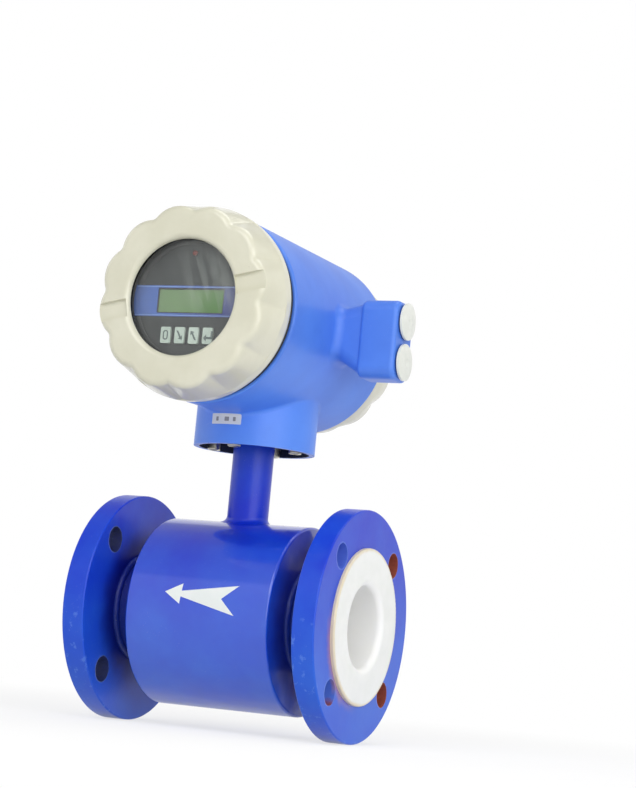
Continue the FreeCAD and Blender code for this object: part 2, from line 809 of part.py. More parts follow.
def display_fascia():
    """A shallow moulded cup over the display board, open where the screen and keys are."""
    rim_y = fascia_y - fascia_rim_height
    section = [(fascia_y, 0), (fascia_y, fascia_radius - fascia_rim),
               (rim_y, fascia_radius - fascia_rim), (rim_y, fascia_radius, fascia_corner),
               (board_front, fascia_radius), (board_front, fascia_radius - fascia_thickness),
               (fascia_back, fascia_radius - fascia_thickness), (fascia_back, 0)]
    cup = turned(section, head_centre, Y)
    depth = Y * fascia_thickness
    screen = rounded_box(lcd_width + 2 * play, lcd_height + 2 * play, fascia_corner)
    cup = cup.cut(slab(screen, facing(0, lcd_z, fascia_y), depth))
    for x in key_centres():
        hole = rounded_box(key_width + 2 * play, key_height + 2 * play, fascia_corner + play)
        cup = cup.cut(slab(hole, facing(x, key_z, fascia_y), depth))
    return cup.cut(rod(lamp_centre, Y, lamp_diameter / 2 + seat, fascia_y, fascia_back))


def display_band():
    """The coloured film across the panel, cut out round the screen."""
    reach = fascia_radius - fascia_rim - play
    front = fascia_y - band_thickness
    strip = slab(rounded_box(2 * fascia_radius, band_height, fascia_corner), facing(0, band_z, front),
                 Y * band_thickness)
    strip = strip.common(rod(head_centre, Y, reach, front, fascia_y))
    screen = rounded_box(lcd_width + 2 * play, lcd_height + 2 * play, fascia_corner)
    return strip.cut(slab(screen, facing(0, lcd_z, front), Y * band_thickness))


def lcd_module():
    front = fascia_y - band_thickness / 2
    screen = rounded_box(lcd_width, lcd_height, fascia_corner)
    glass = slab(screen, facing(0, lcd_z, front), Y * (fascia_back - front))
    frame = rounded_box(lcd_width + 2 * lcd_border, lcd_height + 2 * lcd_border, fascia_corner)
    carrier = slab(frame, facing(0, lcd_z, fascia_back), Y * (board_front - fascia_back))
    return glass.fuse(carrier).removeSplitter()


def key(x):
    """Cap through the panel, collar behind it and a stem to its switch."""
    front = fascia_y - key_proud
    collar_back = fascia_back + key_collar_thickness
    stem_end = board_front - switch_height - key_travel - switch_gap
    cap = slab(rounded_box(key_width, key_height, fascia_corner), facing(x, key_z, front),
               Y * (fascia_back - front))
    rim = rounded_box(key_width + 2 * key_collar, key_height + 2 * key_collar, fascia_corner)
    collar = slab(rim, facing(x, key_z, fascia_back), Y * key_collar_thickness)
    stem = rod(FreeCAD.Vector(x, 0, key_z), Y, key_stem / 2, collar_back, stem_end)
    return cap.fuse([collar, stem]).removeSplitter()


def key_switches():
    switches = []
    for x in key_centres():
        square = rounded_box(switch_size, switch_size, play)
        switches.append(slab(square, facing(x, key_z, board_front - switch_height), Y * switch_height))
    return group(switches)


def status_lamp():
    dome = Part.makeSphere(lamp_diameter / 2, lamp_centre + Y * fascia_y)
    body = rod(lamp_centre, Y, lamp_diameter / 2, fascia_y, board_front)
    return body.fuse(dome).removeSplitter()


def post_places():
    radius = board_radius - board_post_inset
    places = []
    for angle in (45, 135, 225, 315):
        turn = math.radians(angle)
        places.append(FreeCAD.Vector(radius * math.cos(turn), 0, head_height + radius * math.sin(turn)))
    return places


def board(back, radius):
    """A round circuit board with a flat at the bottom for the leads."""
    front = back - board_thickness
    plate = rod(head_centre, Y, radius, front, back)
    low = FreeCAD.Vector(-radius, front, head_height - radius + board_flat)
    plate = plate.common(Part.makeBox(2 * radius, board_thickness, 2 * radius, low))
    for place in post_places():
        plate = plate.cut(rod(place, Y, board_hole / 2, front, back))
    return plate


def board_posts():
    """Hexagonal pillars between the partition and the three boards."""
    levels = [(power_board_y, partition_front), (main_board_y, power_board_y - board_thickness),
              (display_board_y, main_board_y - board_thickness)]
    posts = []
    for start, end in levels:
        for place in post_places():
            posts.append(hexagon(board_post, place, Y, start, end))
    return group(posts)


def transformer():
    """Laminated core with its winding, on the power board."""
    front = power_board_y - board_thickness
    width, height, depth = transformer_core
    place = facing(0, head_height, front - depth)
    core = slab(rounded_box(width, height, transformer_corner), place, Y * depth)
    winding_width, winding_height, winding_depth = transformer_winding
    place = facing(0, head_height, front - (depth + winding_depth) / 2)
    corner = winding_depth / 3
    winding = slab(rounded_box(winding_width, winding_height, corner), place, Y * winding_depth)
    return core.fuse(winding).removeSplitter()


def terminal_centres():
    first = -(terminal_ways - 1) / 2 * terminal_pitch
    return [first + i * terminal_pitch for i in range(terminal_ways)]


def terminal_block():
    """A row of cage terminals on the rear of the partition."""
    width = terminal_ways * terminal_pitch + 2 * terminal_margin
    face = partition_rear + terminal_depth
    low = FreeCAD.Vector(-width / 2, partition_rear, head_height - terminal_height / 2)
    block = Part.makeBox(width, terminal_depth, terminal_height, low)
    long_edges = []
    for edge in block.Edges:
        if edge.BoundBox.XLength > width - 1 and edge.BoundBox.YMin > face - 1:
            long_edges.append(edge)
    block = block.makeChamfer(terminal_chamfer, long_edges)
    mouth_y = partition_rear + terminal_screw_sink - terminal_mouth + 1
    for x in terminal_centres():
        place = FreeCAD.Vector(x, 0, head_height)
        well = rod(place, Y, terminal_screw / 2 + seat, face - terminal_screw_sink, face)
        low = FreeCAD.Vector(x - terminal_mouth / 2, mouth_y, head_height - terminal_height)
        mouth = Part.makeBox(terminal_mouth, terminal_mouth, terminal_height, low)
        block = block.cut(well).cut(mouth)
    return block


def terminal_screws():
    screws = []
    bottom = partition_rear + terminal_depth - terminal_screw_sink
    top = bottom + terminal_screw_height
    for x in terminal_centres():
        place = FreeCAD.Vector(x, 0, head_height)
        screw = rod(place, Y, terminal_screw / 2, bottom, top)
        low = FreeCAD.Vector(x - terminal_screw, top - terminal_slot, head_height - terminal_slot / 2)
        slot = Part.makeBox(2 * terminal_screw, terminal_slot, terminal_slot, low)
        screws.append(screw.cut(slot))
    return group(screws)


# ---- write every piece ----
def pieces():
    upper_entry, lower_entry = entry_centres()
    bushes, nuts = electrode_fittings()
    screws, washers = neck_screws()
    gasket, glass, clamp, clamp_screws = window_parts()
    made = {
        "measuring_tube": measuring_tube(),
        "liner": liner(),
        "left_flange": pipe_flange(-1),
        "right_flange": pipe_flange(1),
        "sensor_shell": sensor_shell(),
        "left_end_plate": end_plate(-1),
        "right_end_plate": end_plate(1),
        "upper_coil": coil(1),
        "lower_coil": coil(-1),
        "upper_pole": pole(1),
        "lower_pole": pole(-1),
        "magnetic_yoke": magnetic_yoke(),
        "front_electrode": electrode(-1),
        "rear_electrode": electrode(1),
        "electrode_bushes": bushes,
        "electrode_nuts": nuts,
        "neck_tube": neck_tube(),
        "neck_flange": neck_flange(),
        "neck_gasket": neck_gasket(),
        "neck_screws": screws,
        "neck_washers": washers,
        "converter_housing": converter_housing(),
        "upper_blanking_plug": blanking_plug(upper_entry),
        "lower_blanking_plug": blanking_plug(lower_entry),
        "plug_gaskets": plug_gaskets(),
        "front_cover": on_front(window_cover()),
        "front_seal": on_front(seal_ring(front_grip)),
        "window_gasket": on_front(gasket),
        "window_glass": on_front(glass),
        "window_ring": on_front(clamp),
        "window_ring_screws": on_front(clamp_screws),
        "rear_cover": on_rear(closed_cover()),
        "rear_seal": on_rear(seal_ring(rear_grip)),
        "display_fascia": display_fascia(),
        "display_band": display_band(),
        "lcd_module": lcd_module(),
        "key_switches": key_switches(),
        "status_lamp": status_lamp(),
        "display_board": board(display_board_y, fascia_radius),
        "main_board": board(main_board_y, board_radius),
        "power_board": board(power_board_y, board_radius),
        "board_posts": board_posts(),
        "transformer": transformer(),
        "terminal_block": terminal_block(),
        "terminal_screws": terminal_screws(),
    }
    for name, x in zip(key_names, key_centres()):
        made[name] = key(x)
    return made


os.makedirs("parts", exist_ok=True)
for name, shape in pieces().items():
    shape.exportStep("parts/" + name + ".step")
    print("%-20s %2d solid(s) %10.1f mm3" % (name, len(shape.Solids), shape.Volume))
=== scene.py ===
import json
import math
import bpy
from mathutils import Matrix, Vector


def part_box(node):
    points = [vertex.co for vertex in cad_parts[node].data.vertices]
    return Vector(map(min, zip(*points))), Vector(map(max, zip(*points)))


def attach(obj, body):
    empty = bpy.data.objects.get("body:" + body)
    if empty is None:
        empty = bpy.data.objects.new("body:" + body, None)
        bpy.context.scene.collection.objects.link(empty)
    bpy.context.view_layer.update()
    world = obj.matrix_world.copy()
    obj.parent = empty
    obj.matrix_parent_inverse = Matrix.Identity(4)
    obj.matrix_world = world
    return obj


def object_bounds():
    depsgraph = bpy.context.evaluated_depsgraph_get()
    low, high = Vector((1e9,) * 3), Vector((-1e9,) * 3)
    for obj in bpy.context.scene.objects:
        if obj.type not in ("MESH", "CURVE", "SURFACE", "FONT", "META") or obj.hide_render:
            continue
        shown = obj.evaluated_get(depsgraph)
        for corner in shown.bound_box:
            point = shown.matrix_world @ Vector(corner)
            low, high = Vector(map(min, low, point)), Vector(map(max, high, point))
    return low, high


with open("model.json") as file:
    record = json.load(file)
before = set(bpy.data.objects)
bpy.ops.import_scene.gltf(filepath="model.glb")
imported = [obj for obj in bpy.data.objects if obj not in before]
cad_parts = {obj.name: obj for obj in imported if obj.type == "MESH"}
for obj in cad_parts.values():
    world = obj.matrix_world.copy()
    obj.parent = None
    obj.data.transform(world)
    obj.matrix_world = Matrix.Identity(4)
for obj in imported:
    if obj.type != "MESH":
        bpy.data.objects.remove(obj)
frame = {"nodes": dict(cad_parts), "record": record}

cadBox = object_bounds()
mm = 0.001


def nodeBox(name):
    low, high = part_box(name)
    return Vector(low), Vector(high)


def middle(name):
    low, high = nodeBox(name)
    return (low + high) / 2


shellRadius = nodeBox("sensor_shell")[1].z
tubeRadius = nodeBox("measuring_tube")[1].z
headAxis = middle("rear_cover")
headHeight = headAxis.z / mm
smoothAngle = 35              # degrees: sharper edges stay sharp
print("frame loaded,", len(frame["nodes"]), "nodes")


cameraSizes = {
    "place": (713.69, -1442.45, -22.14),
    "turn": 25.019,           # degrees: to the left, up, and leaning over
    "lift": 6.444,
    "lean": 5.41,
    "lens": 95.31,
    "shift": (0.0164, 0.0267),
    "clip": (0.05, 60),       # metres
}


def makeCamera(sizes):
    turn, lift, lean = (math.radians(sizes[key]) for key in ("turn", "lift", "lean"))
    ahead = Vector((-math.sin(turn) * math.cos(lift), math.cos(turn) * math.cos(lift), math.sin(lift)))
    side = Vector((math.cos(turn), math.sin(turn), 0))
    up = side.cross(ahead)
    right = side * math.cos(lean) + up * math.sin(lean)
    top = up * math.cos(lean) - side * math.sin(lean)
    bpy.ops.object.camera_add()
    camera = bpy.context.object
    camera.name = "camera"
    place = Matrix((right, top, -ahead)).transposed().to_4x4()
    place.translation = Vector(sizes["place"]) * mm
    camera.matrix_world = place
    camera.data.lens = sizes["lens"]
    camera.data.shift_x, camera.data.shift_y = sizes["shift"]
    camera.data.clip_start, camera.data.clip_end = sizes["clip"]
    bpy.context.scene.camera = camera


makeCamera(cameraSizes)
bpy.context.scene.view_settings.view_transform = "Standard"


class Signal:
    # a socket that can be added, multiplied and so on

    def __init__(self, shader, socket):
        self.shader, self.socket = shader, socket

    def join(self, kind, first, second):
        return self.shader.add("Math", {"operation": kind}, {0: first, 1: second})

    def __abs__(self):
        return self.shader.add("Math", {"operation": "ABSOLUTE"}, {0: self})

    def __add__(self, other):
        return self.join("ADD", self, other)

    def __radd__(self, other):
        return self.join("ADD", other, self)

    def __sub__(self, other):
        return self.join("SUBTRACT", self, other)

    def __rsub__(self, other):
        return self.join("SUBTRACT", other, self)

    def __mul__(self, other):
        return self.join("MULTIPLY", self, other)

    def __rmul__(self, other):
        return self.join("MULTIPLY", other, self)

    def __pow__(self, other):
        return self.join("POWER", self, other)


class Shader:
    # the nodes of a material or of the world; every node is added here

    def __init__(self, tree):
        self.tree = tree
        self.tree.nodes.clear()

    def add(self, kind, settings=None, inputs=None, out=0):
        node = self.tree.nodes.new("ShaderNode" + kind)
        for key, value in (settings or {}).items():
            setattr(node, key, value)
        for key, value in (inputs or {}).items():
            if isinstance(value, Signal):
                self.tree.links.new(value.socket, node.inputs[key])
            else:
                node.inputs[key].default_value = value
        return Signal(self, node.outputs[out]) if node.outputs else None

    def ramp(self, value, low, high, start=0.0, end=1.0):
        return self.add("MapRange", {"interpolation_type": "SMOOTHSTEP"},
                        {0: value, 1: low, 2: high, 3: start, 4: end})

    def raysSeen(self):
        # camera rays, mirrored rays and rays through glass
        kinds = ("Is Camera Ray", "Is Glossy Ray", "Is Transmission Ray")
        return [self.add("LightPath", out=kind) for kind in kinds]


class Paint(Shader):
    # one material while it is being built; x, y and z are millimetres on the object

    def __init__(self, name):
        self.material = bpy.data.materials.new(name)
        self.material.use_nodes = True
        super().__init__(self.material.node_tree)
        place = self.add("TexCoord", out="Object")
        self.place = self.add("VectorMath", {"operation": "SCALE"}, {0: place, "Scale": 1 / mm})
        self.x, self.y, self.z = (self.add("SeparateXYZ", {}, {0: self.place}, out=i) for i in range(3))

    def noise(self, scale, detail=2, rough=0.5, stretch=None, twist=0.0):
        # stretch is a scale along each axis and a turn
        where = self.place
        if stretch:
            turned = self.add("Mapping", {}, {0: where, "Rotation": stretch[1]})
            where = self.add("VectorMath", {"operation": "MULTIPLY"}, {0: turned, 1: stretch[0]})
        return self.add("TexNoise", {}, {"Vector": where, "Scale": scale, "Detail": detail,
                                         "Roughness": rough, "Distortion": twist})

    def mix(self, share, first, second):
        return self.add("Mix", {"data_type": "RGBA", "blend_type": "MIX"},
                        {0: share, 6: first, 7: second}, out=2)

    def radius(self, first, second):
        return (first ** 2 + second ** 2) ** 0.5

    def edges(self, reach, low=0.02, high=0.25):
        # 1 along the outer and inner edges, 0 on the flats
        soft = self.add("Bevel", {"samples": 4}, {"Radius": reach * mm})
        true = self.add("NewGeometry", out="Normal")
        same = self.add("VectorMath", {"operation": "DOT_PRODUCT"}, {0: soft, 1: true}, out="Value")
        return self.ramp(1 - same, low, high)

    def close(self, colour, roughness, height, depth, metallic=0.0, **others):
        inputs = {"Base Color": colour, "Roughness": roughness, "Metallic": metallic}
        inputs["Normal"] = self.add("Bump", {}, {"Height": height, "Distance": depth * mm, "Strength": 1.0})
        inputs.update({key.replace("_", " "): value for key, value in others.items()})
        return self.closeWith(self.add("BsdfPrincipled", {}, inputs))

    def closeWith(self, surface):
        self.add("OutputMaterial", {}, {"Surface": surface})
        return self.material


def tone(red, green, blue):
    # a colour from screen values of 0 to 255
    return tuple((value / 255) ** 2.2 for value in (red, green, blue)) + (1.0,)


sensorPaint = {
    "deep": tone(22, 50, 200),
    "light": tone(46, 104, 220),
    "dust": tone(150, 165, 215),
    "chip": tone(160, 175, 200),
    "gloss": 0.26,
    "paintedLight": (60, -60),       # heights between which painted light makes the paint lighter towards the bottom
}
headPaint = {
    "deep": tone(70, 118, 220),
    "light": tone(88, 144, 246),
    "dust": tone(176, 198, 240),
    "chip": tone(170, 190, 225),
    "gloss": 0.46,
    # painted light: the head's paint is lighter towards the bottom
    "paintedLight": (215, 150),
}
chipEdge = (0.9, 0.03, 0.16)  # reach of a chipped edge, and how sharp it has to be


def enamel(paint, sizes, chips=0.5, scratches=0.5, edge=None):
    # sprayed gloss enamel: soft patches, orange peel, fine scratches, dust and chipped edges, with painted
    # light that makes it lighter low down
    patches = paint.ramp(paint.noise(0.018, 4, 0.55), 0.3, 0.7)
    # painted light: lighter low down, where more light falls
    paintedLight = paint.ramp(paint.z, sizes["paintedLight"][0], sizes["paintedLight"][1])
    colour = paint.mix(patches * 0.35 + paintedLight * 0.65, sizes["deep"], sizes["light"])
    lines = paint.noise(0.9, 2, 0.6, stretch=((0.035, 1.0, 1.0), (0.1, 0.3, 0.5)))
    scratch = paint.ramp(lines, 0.70, 0.74) * paint.ramp(paint.noise(0.04, 1), 0.45, 0.6) * scratches
    specks = paint.ramp(paint.noise(1.1, 1, 0.4), 0.735, 0.76)
    specks = specks * paint.ramp(paint.noise(0.03, 2), 0.5, 0.68)
    colour = paint.mix(scratch * 0.4 + specks * 0.3, colour, sizes["dust"])
    worn = 0.0
    if chips:
        edge = paint.edges(*chipEdge) if edge is None else edge
        worn = edge * paint.ramp(paint.noise(0.35, 4, 0.7), 0.58 - 0.06 * chips, 0.64)
        colour = paint.mix(edge * 0.14, colour, sizes["dust"])
        colour = paint.mix(worn * chips, colour, sizes["chip"])
    rough = paint.noise(0.05, 3) * 0.1 + scratch * 0.2 + worn * 0.3 + sizes["gloss"]
    peel = paint.noise(0.55, 2, 0.4) * 0.5 + paint.noise(0.07, 2) * 1.6 - worn * 0.8 - scratch * 0.15
    return colour, rough, peel


casingSizes = {
    "plateEdge": (57.0, 57.6),    # along x, where the end plates' outer edge starts
    "plateShade": (74, 50),             # radii between which painted shade darkens the plates towards the tube
    "coatTop": (-64, -24),        # heights between which the clear coat thickens
}


def casingBlue(name="casingBlue", plate=False):
    # rolled plate under the paint gives slow waves; the end plates are chipped along
    # their outer edge and have painted shade near the tube
    paint = Paint(name)
    edge = None
    if plate:
        side = abs(paint.x)
        edge = paint.edges(*chipEdge) * paint.ramp(side, *casingSizes["plateEdge"])
    colour, rough, peel = enamel(paint, sensorPaint, 0.9 if plate else 0, edge=edge)
    if plate:
        # painted shade: the end plates turn dark violet towards the tube
        plateShade = paint.ramp(paint.radius(paint.y, paint.z) + paint.noise(0.08, 3) * 10, *casingSizes["plateShade"])
        colour = paint.mix(plateShade * 0.75, colour, tone(16, 12, 120))
    wave = paint.noise(0.022, 2, 0.4, stretch=((0.45, 1.0, 1.0), (0, 0.1, 0)))
    coat = paint.ramp(paint.z, *casingSizes["coatTop"], 0.4, 1.0)
    return paint.close(colour, rough, peel + wave * 70, 0.05, Coat_Weight=coat, Coat_Roughness=0.05)


def neckBlue():
    paint = Paint("neckBlue")
    colour, rough, peel = enamel(paint, sensorPaint, 0)
    return paint.close(colour, rough, peel, 0.05, Specular_IOR_Level=0.35)


def gapShadeBlue():
    # inside the gaps painted shade darkens the paint, with pale spatter flecks
    paint = Paint("gapShadeBlue")
    colour, rough, peel = enamel(paint, sensorPaint, 0.3)
    grain = paint.noise(0.8, 3, 0.7)
    # painted shade: the whole piece is darkened towards deep violet
    colour = paint.mix(0.7, colour, tone(16, 10, 84))
    colour = paint.mix(paint.ramp(grain, 0.63, 0.7) * 0.6, colour, tone(112, 124, 120))
    return paint.close(colour, rough + 0.12, peel + grain * 1.5, 0.12)


flangeSizes = {
    "hole": 49.5,             # holes are this far along y and z
    "holeRadius": 9.5,
    "inner": 85.0,            # inner faces, along x
    "outer": (100, 103),      # outer face, along x
    "tint": (71, 60),         # radii of the rust tint round the liner
    "hubShade": (72, 50),          # radii of the painted shade round the tube
    "rim": (84, 87),          # radii of the pale blotches
}


def flangeBlue(name, near):
    # drilled holes are bare inside: primer and rust at the near end, painted shade at the far end
    paint = Paint(name)
    edge = paint.edges(*chipEdge)
    colour, rough, peel = enamel(paint, sensorPaint, 0.8, edge=edge)
    across = abs(paint.y) - flangeSizes["hole"]
    along = abs(paint.z) - flangeSizes["hole"]
    away = paint.radius(across, along) + paint.noise(0.6, 3) * 0.9 - 0.45
    hole = flangeSizes["holeRadius"]
    wall = paint.ramp(away, hole + 0.5, hole + 0.1)
    ragged = paint.ramp(away, hole + 1.2, hole + 0.5)
    rusty = paint.mix(paint.noise(0.4, 4, 0.7), tone(178, 94, 68), tone(122, 60, 56))
    # painted shade for the walls of the far flange's holes
    holeShade = paint.mix(paint.noise(0.3, 3), tone(26, 26, 92), tone(40, 44, 66))
    low = paint.ramp(paint.z + paint.noise(0.3, 3) * 5, -50, -57)
    if near:
        bare = paint.ramp(paint.y, -20, 20)
        colour = paint.mix(ragged * 0.4, colour, tone(120, 150, 226))
        colour = paint.mix(wall * (bare + (1 - bare) * low), colour, rusty)
    else:
        colour = paint.mix(ragged * 0.55, colour, tone(110, 130, 150))
        colour = paint.mix(wall * 0.9, colour, holeShade)
    face = paint.radius(paint.y, paint.z)
    if near:
        tint = paint.ramp(face + paint.noise(0.12, 3) * 7, *flangeSizes["tint"])
        tint = tint * paint.ramp(paint.x, *flangeSizes["outer"])
        tint = tint * paint.ramp(paint.y, 6, -44) * paint.ramp(paint.z, 20, -16)
        colour = paint.mix(tint * 0.7, colour, tone(200, 142, 116))
    side = abs(paint.x)
    # painted shade on the inner face round the tube
    hubShade = paint.ramp(face + paint.noise(0.06, 3) * 12, *flangeSizes["hubShade"])
    hubShade = hubShade * paint.ramp(side, flangeSizes["inner"] + 3, flangeSizes["inner"] + 2)
    colour = paint.mix(hubShade * 0.8, colour, tone(16, 10, 116))
    blotch = paint.ramp(paint.noise(0.13, 4, 0.7), 0.58, 0.66) * paint.ramp(face, *flangeSizes["rim"])
    blotch = blotch * paint.ramp(paint.z, 10, -10)
    colour = paint.mix(blotch * 0.3, colour, tone(120, 165, 236))
    return paint.close(colour, rough + wall * 0.35, peel - ragged * 1.5, 0.06, Specular_IOR_Level=0.35)


footSizes = {
    "recess": (43.2, 42.6),       # radii of the wall of the foot's recess
    "recessTop": (145.2, 144.2),
    "flangeShade": (20, 26),           # radii on the neck flange where the painted shade starts
}


def headBlue():
    # painted shade makes the foot's recess nearly black
    paint = Paint("headBlue")
    colour, rough, peel = enamel(paint, headPaint, 0.35, 0.3)
    away = paint.radius(paint.x, paint.y)
    # painted shade: the recess wall is near black
    recess = paint.ramp(away, *footSizes["recess"]) * paint.ramp(paint.z, *footSizes["recessTop"])
    colour = paint.mix(recess * 0.95, colour, tone(14, 16, 34))
    return paint.close(colour, rough + recess * 0.2, peel + paint.noise(0.12, 3) * 1.2, 0.05,
                       Coat_Weight=0.2, Coat_Roughness=0.22)


def neckFlangeBlue():
    # painted shade makes it nearly black under the head; none at its rim and on the neck
    paint = Paint("neckFlangeBlue")
    colour, rough, peel = enamel(paint, sensorPaint, 0.6)
    away = paint.radius(paint.x, paint.y)
    # painted shade: near black on the flange's underside
    flangeShade = paint.ramp(away + paint.noise(0.1, 3) * 6, *footSizes["flangeShade"])
    colour = paint.mix(flangeShade * 0.9, colour, tone(12, 12, 38))
    return paint.close(colour, rough + 0.1, peel, 0.05, Coat_Weight=0.3, Coat_Roughness=0.12)


coverSizes = {
    "reach": 14.0,                # from the cover's shoulder to its inner end
    "skirt": (61.6, 61.3),        # radii of the bare skirt's outside
    "bareFrom": (0.4, 0.9),       # behind the shoulder
}


def coverCream(name, shoulder, outward):
    # glossy cast cover; the skirt and the inside are bare turned metal
    paint = Paint(name)
    patches = paint.noise(0.02, 4, 0.6)
    colour = paint.mix(paint.ramp(patches, 0.35, 0.68), tone(212, 210, 188), tone(220, 218, 198))
    grime = paint.edges(2.2, 0.05, 0.7) * paint.ramp(paint.noise(0.09, 4, 0.7), 0.4, 0.7)
    colour = paint.mix(grime * 0.12, colour, tone(182, 176, 146))
    specks = paint.ramp(paint.noise(1.4, 1, 0.4), 0.735, 0.76)
    specks = specks * paint.ramp(paint.noise(0.04, 2), 0.55, 0.7)
    colour = paint.mix(specks * 0.4, colour, tone(140, 134, 116))
    behind = (paint.y - shoulder) * outward
    inside = paint.radius(paint.x, paint.z - headHeight)
    bare = paint.ramp(inside, *coverSizes["skirt"]) * paint.ramp(behind, *coverSizes["bareFrom"])
    turned = paint.noise(2.6, 2, 0.6, stretch=((0.1, 1.0, 0.1), (0, 0, 0)))
    metal = paint.mix(turned, tone(150, 150, 146), tone(196, 196, 190))
    colour = paint.mix(bare, colour, metal)
    rough = 0.26 + paint.noise(0.05, 3) * 0.1 + specks * 0.2 + bare * 0.1
    peel = paint.noise(0.45, 2, 0.4) * 0.8 + paint.noise(0.05, 3) * 2.2
    return paint.close(colour, rough, peel, 0.05, metallic=bare * 0.9, Coat_Weight=0.6, Coat_Roughness=0.05)


def linerWhite():
    paint = Paint("linerWhite")
    cloud = paint.noise(0.04, 4, 0.6)
    colour = paint.mix(paint.ramp(cloud, 0.3, 0.7), tone(240, 242, 238), tone(247, 248, 245))
    away = paint.radius(paint.y, paint.z)
    rim = paint.ramp(away + paint.noise(0.1, 3) * 2.4, 57.0, 60.0)
    colour = paint.mix(rim * 0.9, colour, tone(228, 212, 178))
    # painted light: the bore's wall is whiter than the faces, so that it reads lighter inside
    colour = paint.mix(paint.ramp(away, 36, 32), colour, tone(252, 252, 250))
    rings = paint.add("TexWave", {"wave_type": "RINGS", "rings_direction": "X"},
                      {"Vector": paint.place, "Scale": 0.35, "Distortion": 1.0, "Detail": 2})
    marks = paint.ramp(paint.noise(0.5, 3, 0.6), 0.68, 0.74) * 0.12
    colour = paint.mix(marks, colour, tone(216, 212, 198))
    return paint.close(colour, 0.34 + cloud * 0.12, rings * 0.35 + cloud, 0.06,
                       Subsurface_Weight=0.1, Subsurface_Radius=(0.004, 0.004, 0.003))


def moulded(name, first, second, gloss):
    # moulded plastic with a fine texture
    paint = Paint(name)
    cloud = paint.noise(0.06, 4, 0.6)
    colour = paint.mix(paint.ramp(cloud, 0.35, 0.65), first, second)
    grime = paint.edges(0.6) * paint.ramp(paint.noise(0.3, 3), 0.4, 0.65)
    colour = paint.mix(grime * 0.18, colour, tuple(value * 0.45 for value in first[:3]) + (1.0,))
    skin = paint.noise(1.4, 2, 0.5)
    return paint.close(colour, gloss + cloud * 0.12, skin + cloud * 2, 0.03)


def turnedSteel(name, first, second, gloss, stretch):
    paint = Paint(name)
    lines = paint.noise(2.2, 3, 0.6, stretch=(stretch, (0, 0, 0)))
    stain = paint.noise(0.14, 4, 0.65)
    colour = paint.mix(lines, first, second)
    colour = paint.mix(paint.ramp(stain, 0.55, 0.75) * 0.4, colour, tone(120, 112, 98))
    return paint.close(colour, gloss + lines * 0.14 + stain * 0.08, lines, 0.02, metallic=1.0)


def copperWire():
    paint = Paint("copperWire")
    turns = paint.add("TexWave", {"bands_direction": "Z"},
                      {"Vector": paint.place, "Scale": 0.5, "Distortion": 0.4})
    colour = paint.mix(turns, tone(140, 66, 34), tone(214, 124, 70))
    return paint.close(colour, 0.3 + paint.noise(0.3) * 0.1, turns, 0.25, metallic=0.9)


def coreIron():
    paint = Paint("coreIron")
    layers = paint.noise(1.8, 2, 0.6, stretch=((0.05, 0.05, 1.0), (0, 0, 0)))
    rust = paint.ramp(paint.noise(0.12, 4, 0.7), 0.55, 0.75)
    colour = paint.mix(layers, tone(62, 62, 66), tone(104, 104, 106))
    colour = paint.mix(rust * 0.6, colour, tone(98, 62, 44))
    return paint.close(colour, 0.45 + rust * 0.3, layers, 0.05, metallic=0.7)


def rubber():
    paint = Paint("blackRubber")
    cloud = paint.noise(0.3, 4, 0.6)
    colour = paint.mix(cloud, tone(16, 17, 18), tone(38, 39, 40))
    return paint.close(colour, 0.5 + cloud * 0.2, paint.noise(2.2, 3), 0.03)


def windowGlass():
    # clear glass that lets the lamps light what is behind it, with painted reflection streaks at its upper
    # right
    paint = Paint("windowGlass")
    # painted reflection: pale streaks at the upper right of the pane
    glareStreaks = paint.noise(0.11, 3, 0.6, stretch=((1.0, 1.0, 0.16), (0, 0.28, 0)), twist=0.6)
    place = paint.ramp(paint.x, -6, 16) * paint.ramp(paint.z, 206, 226)
    glare = paint.ramp(glareStreaks, 0.44, 0.66) * (place * 0.85 + 0.15)
    clear = paint.add("BsdfPrincipled", {}, {"Base Color": (0.95, 0.975, 0.965, 1), "Roughness": 0.0,
                                             "Transmission Weight": 1.0, "IOR": 1.5})
    glareWhite = paint.add("BsdfDiffuse", {}, {"Color": tone(214, 220, 214)})
    pane = paint.add("MixShader", {}, {0: glare * 0.13, 1: clear, 2: glareWhite})
    through = paint.add("BsdfTransparent", {}, {"Color": (0.93, 0.96, 0.95, 1)})
    lamp = paint.add("LightPath", out="Is Shadow Ray")
    return paint.closeWith(paint.add("MixShader", {}, {0: lamp, 1: pane, 2: through}))


def blackRing():
    # black anodised ring that holds the window
    paint = Paint("blackRing")
    cloud = paint.noise(0.1, 3, 0.6)
    colour = paint.mix(cloud, tone(16, 17, 18), tone(30, 31, 32))
    return paint.close(colour, 0.4 + cloud * 0.15, paint.noise(1.8, 3), 0.02)


def fasciaDark():
    paint = Paint("fasciaDark")
    cloud = paint.noise(0.05, 3, 0.6)
    colour = paint.mix(paint.ramp(paint.z, 190, 262), tone(22, 26, 28), tone(38, 42, 43))
    colour = paint.mix(cloud * 0.2, colour, tone(54, 58, 58))
    away = paint.radius(paint.x, paint.z - headHeight)
    groove = paint.ramp(away, 41.4, 41.8) * paint.ramp(away, 42.8, 42.4)
    colour = paint.mix(groove * 0.8, colour, tone(10, 11, 12))
    return paint.close(colour, 0.42 + cloud * 0.1, paint.noise(2.0) - groove * 6, 0.03)


def bandBlue():
    paint = Paint("bandBlue")
    # painted reflection: the band is lighter at the left and darker at the right
    across = paint.ramp(paint.x, -40, 40)
    colour = paint.mix(across, tone(66, 100, 178), tone(16, 32, 122))
    cloud = paint.noise(0.1, 4)
    colour = paint.mix(cloud * 0.12, colour, tone(90, 122, 190))
    return paint.close(colour, 0.34 + cloud * 0.08, paint.noise(1.6), 0.015)


